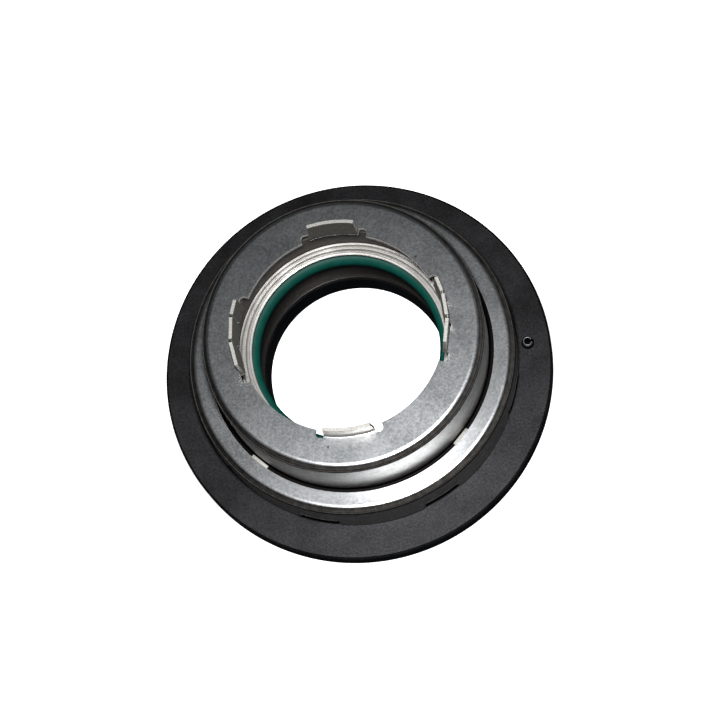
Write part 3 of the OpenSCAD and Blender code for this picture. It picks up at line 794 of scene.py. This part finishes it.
top_z = cup_z - sheet / 2
wall_r = cup_r - sheet / 2
bend_r = cup_r + cup_flange_bend
bend_z = cup_low_z + sheet + cup_flange_bend
corner_r = cup_r - sheet - cup_corner
corner_z = cup_z - sheet - cup_corner
cup_profile = [(cup_flange_r, cup_low_z + sheet / 2)]
cup_profile += arc_points((bend_r, bend_z), cup_flange_bend + sheet / 2, 270, 180, 8)
cup_profile += [(wall_r, bend_z + hold), (wall_r, corner_z - hold)]
cup_profile += arc_points((corner_r, corner_z), cup_corner + sheet / 2, 0, 90, 12)
cup_profile += [(corner_r - hold, top_z), (join_r, top_z)]
relief_step = 0.35  # degrees between the points of a relief
relief_arc = math.degrees(relief_r / tab_in_r)
tab_gain = math.degrees(tab_h * math.tan(math.radians(tab_taper)) / tab_in_r)
flat_end = flat_start - sum(flat_arcs)

# Section of a tab from the join inwards: flat, bend, and the wall that leans outwards a little.
tab_mid_bend = tab_bend + sheet / 2
tab_section = [(window_r, top_z)]
tab_section += arc_points((tab_bend_r, cup_z + tab_bend), tab_mid_bend, -90, -180 - tab_lean, 8)
foot_r, foot_z = tab_section[-1]
for rise in spread(0, tab_h - tab_bend, 1.0)[1:]:
    lean = math.radians(tab_lean)
    tab_section.append((foot_r + rise * math.sin(lean), foot_z + rise * math.cos(lean)))


def narrowed(z):
    """Distance in mm that a tab's sloped end has moved in at a height."""
    return max(0, z - cup_z - tab_bend) * math.tan(math.radians(tab_taper))


def curved_tab(bm, low, high, slope_low, slope_high):
    """Curved tab between two angles of its foot; the ends that slope lean in as it rises."""
    angles = spread(low, high, 1.2)
    rows = [[polar(join_r, a, top_z) for a in angles]]
    for r, z in tab_section:
        inset = math.degrees(narrowed(z) / r)
        bottom = low + inset * slope_low
        top = high - inset * slope_high
        rows.append([polar(r, bottom + (top - bottom) * (a - low) / (high - low), z) for a in angles])
    patch(bm, rows)
    return angles


def flat_tab(bm, low, high, slope_low, slope_high):
    """Flat tab folded on its own chord between two angles; returns its angles on the join and at the window."""
    middle = (low + high) / 2
    half = tab_in_r * math.sin(math.radians((high - low) / 2)) - flat_slit / 2
    across = spread(-half, half, 0.6)
    turn = Matrix.Rotation(math.radians(middle), 3, "Z")
    rows = [[turn @ Vector((math.sqrt(r * r - y * y), y, top_z)) for y in across] for r in (join_r, window_r)]
    for x, z in tab_section[1:]:
        bottom = -half + narrowed(z) * slope_low
        top = half - narrowed(z) * slope_high
        rows.append([turn @ Vector((x, bottom + (top - bottom) * (y + half) / (2 * half), z)) for y in across])
    patch(bm, rows)
    return [[middle + math.degrees(math.asin(y / r)) for y in across] for r in (join_r, window_r)]


def window_edge(bm, joined, inner, relief=None):
    """Sheet between the join and the edge of a tab's window; a relief's angle rounds the edge there."""
    edge = []
    for a in inner:
        r = window_r
        if relief is not None:
            aside = relief_mid_r * math.radians(abs(a - relief))
            if aside < relief_r:
                r = max(r, relief_mid_r + math.sqrt(relief_r ** 2 - aside ** 2))
        edge.append(polar(r, a, top_z))
    patch(bm, [[polar(join_r, a, top_z) for a in joined], edge])


def plain_edge(bm, low, high):
    """Sheet between two windows, from the join to the bore, its ends shaped by the reliefs."""
    angles = spread(low, high, 1.5)
    shape = [(join_r, 0.0)]
    for k in range(7):
        a = math.radians(90 * k / 6)
        shape.append((relief_mid_r + relief_r * math.cos(a), relief_r * math.sin(a)))
    shape += [(r, relief_r) for r in spread(relief_mid_r, cup_bore_r, 0.5)[1:]]
    rows = []
    for r, aside in shape:
        inset = math.degrees(math.asin(aside / r))
        rows.append([
            polar(r, low + inset + (high - low - 2 * inset) * (a - low) / (high - low), top_z) for a in angles
        ])
    patch(bm, rows)
    return angles


# One half, from the middle of the front tab to the middle of the back tab, is built and mirrored.
bm = bmesh.new()
around = []
curved_half = curved_arc / 2 + tab_gain
front_relief = -90 + curved_half + relief_arc
back_relief = 90 - curved_half - relief_arc
low_relief = flat_end - tab_gain - relief_arc
high_relief = flat_start + tab_gain + relief_arc
around += curved_tab(bm, -90, -90 + curved_half, 0, 1)
notch = spread(-90 + curved_half, front_relief, relief_step)
window_edge(bm, notch, notch, front_relief)
around += notch
around += plain_edge(bm, front_relief, low_relief)
folds = [flat_end - tab_gain, flat_end + flat_arcs[2], flat_start - flat_arcs[0], flat_start + tab_gain]
flats = [flat_tab(bm, folds[k], folds[k + 1], k == 0, k == 2) for k in range(3)]
notch_join = spread(low_relief, flats[0][0][0], relief_step)
notch_in = even(low_relief, flats[0][1][0], len(notch_join))
window_edge(bm, notch_join, notch_in, low_relief)
around += notch_join
for k in range(3):
    around += flats[k][0]
    if k < 2:
        slit_join = [flats[k][0][-1], flats[k + 1][0][0]]
        slit_in = [flats[k][1][-1], flats[k + 1][1][0]]
        window_edge(bm, slit_join, slit_in)
notch_join = spread(flats[2][0][-1], high_relief, relief_step)
notch_in = even(flats[2][1][-1], high_relief, len(notch_join))
window_edge(bm, notch_join, notch_in, high_relief)
around += notch_join
around += plain_edge(bm, high_relief, back_relief)
notch = spread(back_relief, 90 - curved_half, relief_step)
window_edge(bm, notch, notch, back_relief)
around += notch
around += curved_tab(bm, 90 - curved_half, 90, 1, 0)
body_angles = [a for k, a in enumerate(around) if k == 0 or a - around[k - 1] > 1e-6]
patch(bm, [[polar(r, a, z) for a in body_angles] for r, z in cup_profile])
bmesh.ops.mirror(bm, geom=bm.verts[:] + bm.edges[:] + bm.faces[:], axis="X", merge_dist=0.001 * MM)
bmesh.ops.rotate(bm, verts=bm.verts, matrix=Matrix.Rotation(math.radians(cup_turn), 3, "Z"))
cup = pressed("drawn_drive_cup", bm, zinc_steel, sheared_edge, cup_z + 2 * tab_bend)

# Near-black plated steel: painted shade on the flange and the foot of the cup's wall, which lie in the gap under the
# shell's rim.
gap_shade_steel, tree, shader = new_finish("plated_steel_painted_gap_shade", Metallic=1.0, Roughness=0.5,
                                      Base_Color=linear("#0f0e0e"))

# Bent plated steel: bending has crazed the zinc on the tabs, so they are duller than the cup's top; their warmer
# colour is a painted reflection of the warm bore.
bent_steel_painted_reflection, tree, shader = new_finish("bent_plated_steel_painted_reflection", Metallic=1.0, Roughness=0.55)
place = add(tree, "ShaderNodeTexCoord").outputs["Object"]
craze = add(tree, "ShaderNodeTexNoise", {"Vector": place, "Scale": 1 / (zinc_grain * MM), "Detail": 4.0,
                                         "Roughness": 0.6})
cracks = add(tree, "ShaderNodeBump", {"Height": craze.outputs["Fac"], "Strength": 0.5, "Distance": 0.03 * MM})
colour = add(tree, "ShaderNodeValToRGB", {"Fac": craze.outputs["Fac"]}, stops=((0.3, "#a09c95"), (0.7, "#bebab2")))
fill(tree, shader, {"Base Color": colour.outputs["Color"], "Normal": cracks.outputs["Normal"]})
on_gap_shade, on_tab = 4, 5
for finish in (drawn_wall, painted_shade_bend, gap_shade_steel, bent_steel_painted_reflection):
    cup.data.materials.append(finish)
gap_shade_z = rim_z + 0.2  # height up to which the cup is painted near black as shade
steep = 0.5  # upright part of a face's normal below which it is a side of a tab
tab_low_z = cup_z + tab_bend
for face in cup.data.polygons:
    # painted shade: faces below this height take the near-black finish
    if face.center.z < gap_shade_z * MM:
        face.material_index = on_gap_shade
    elif face.material_index == on_flat and face.center.z > tab_low_z * MM:
        face.material_index = on_tab
    elif face.material_index == on_flat and face.center.z < corner_z * MM:
        face.material_index = on_wall
    # faces round a bend take the darker finish: painted shade
    elif face.material_index == on_flat and face.center.xy.length > corner_r * MM and abs(face.normal.z) < flat_rise:
        face.material_index = on_bend
    elif face.material_index == on_edge and face.center.z > tab_low_z * MM and abs(face.normal.z) < steep:
        face.material_index = on_tab
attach(cup, "cup")
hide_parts("drive_cup")

# Floor: a plain pale sheet lit from below, as on a light table, which leaves hardly a shadow. It is kept out of
# the metal's reflections, so that the walls stay as dark as they are in the photograph.
pale_table, tree, shader = new_finish("pale_backlit_sheet", Base_Color=linear("#f6f6f6"), Roughness=0.9,
                                      Emission_Color=(1, 1, 1, 1), Emission_Strength=0.9)
bm = bmesh.new()
bmesh.ops.create_grid(bm, x_segments=1, y_segments=1, size=3)
table = new_piece("table", mesh_of("table", bm), pale_table)
table.visible_glossy = False
table.visible_diffuse = False
pale_table.cycles.emission_sampling = "NONE"

# Cards: a white card lies round the seal and lights its walls, and a cloth hangs in a wide ring round it and lights
# the tops, as they show from the sides. The camera doesn't see them. The cloth is dark behind the seal, as the room
# was in the photograph.
card_in_r = 0.065
card_out_r = 0.13
card_z = 0.0003
card_glow = 0.25
cloth_r = 0.9
cloth_h = 1.6
cloth_glow_back = 0.05
cloth_glow_front = 0.35
cloth_front = (0.6, -0.8, 0)
white_card, tree, shader = new_finish("white_card", Base_Color=(0, 0, 0, 1), Roughness=1.0,
                                      Emission_Color=(1, 1, 1, 1), Emission_Strength=card_glow)
white_cloth, tree, shader = new_finish("white_cloth", Base_Color=(0, 0, 0, 1), Roughness=1.0,
                                       Emission_Color=(1, 1, 1, 1))
place = add(tree, "ShaderNodeTexCoord").outputs["Object"]
height = add(tree, "ShaderNodeSeparateXYZ", {0: place})
way = add(tree, "ShaderNodeVectorMath", {0: place}, operation="NORMALIZE")
ahead = add(tree, "ShaderNodeVectorMath", {0: way.outputs[0], 1: cloth_front}, operation="DOT_PRODUCT")
glow = add(tree, "ShaderNodeMapRange", {"Value": ahead.outputs["Value"], "From Min": -0.3, "From Max": 0.9,
                                        "To Min": cloth_glow_back, "To Max": cloth_glow_front})
fading = add(tree, "ShaderNodeMapRange", {"Value": height.outputs["Z"], "From Min": 0.0, "From Max": cloth_h,
                                          "To Min": 1.0, "To Max": 0.0})
strength = add(tree, "ShaderNodeMath", {0: glow.outputs["Result"], 1: fading.outputs["Result"]},
               operation="MULTIPLY")
fill(tree, shader, {"Emission Strength": strength.outputs[0]})
for name, finish, rows in (("card", white_card, ((card_in_r, card_z), (card_out_r, card_z))),
                           ("cloth", white_cloth, ((cloth_r, 0), (cloth_r, cloth_h)))):
    bm = bmesh.new()
    patch(bm, [[polar(r / MM, a, z / MM) for a in spread(0, 360, 7.5)] for r, z in rows])
    screen = new_piece(name, mesh_of(name, bm), finish)
    screen.visible_camera = False
    screen.visible_shadow = False

# Camera: a long lens above the front of the seal, rolled so that the seal's axis leans to the upper left. Its
# place was fitted to the circles of the photograph.
camera_away = 0.51848
camera_turn = math.radians(-69.614)
camera_rise = math.radians(72.522)
camera_roll = math.radians(-23.913)
camera_aim = Vector((0.00013, 0.0032, 0))
camera = bpy.data.objects.new("camera", bpy.data.cameras.new("camera"))
camera.data.lens = 113.49
camera.data.sensor_width = 36
back = Vector((math.cos(camera_rise) * math.cos(camera_turn), math.cos(camera_rise) * math.sin(camera_turn),
               math.sin(camera_rise)))
camera.location = camera_aim + back * camera_away
camera.rotation_mode = "QUATERNION"
camera.rotation_quaternion = (back.to_track_quat("Z", "Y").to_matrix() @ Matrix.Rotation(camera_roll, 3, "Z")
                              ).to_quaternion()
bpy.context.scene.collection.objects.link(camera)
bpy.context.scene.camera = camera

# Light: a small soft lamp beside the camera, which lights what the camera sees into the bore, and dim even
# light all round.
lamp = bpy.data.objects.new("lamp", bpy.data.lights.new("lamp", "AREA"))
lamp.data.shape = "DISK"
lamp.data.size = 0.03
lamp.data.energy = 1.5
lamp.location = (0.029, -0.066, 0.35)
lamp.rotation_mode = "QUATERNION"
lamp.rotation_quaternion = lamp.location.to_track_quat("Z", "Y")
bpy.context.scene.collection.objects.link(lamp)
world = bpy.data.worlds.new("room")
world.use_nodes = True
world.node_tree.nodes["Background"].inputs["Color"].default_value = (0.75, 1, 1.3, 1)
world.node_tree.nodes["Background"].inputs["Strength"].default_value = 0.015
bpy.context.scene.world = world
bpy.context.scene.view_settings.view_transform = "Standard"
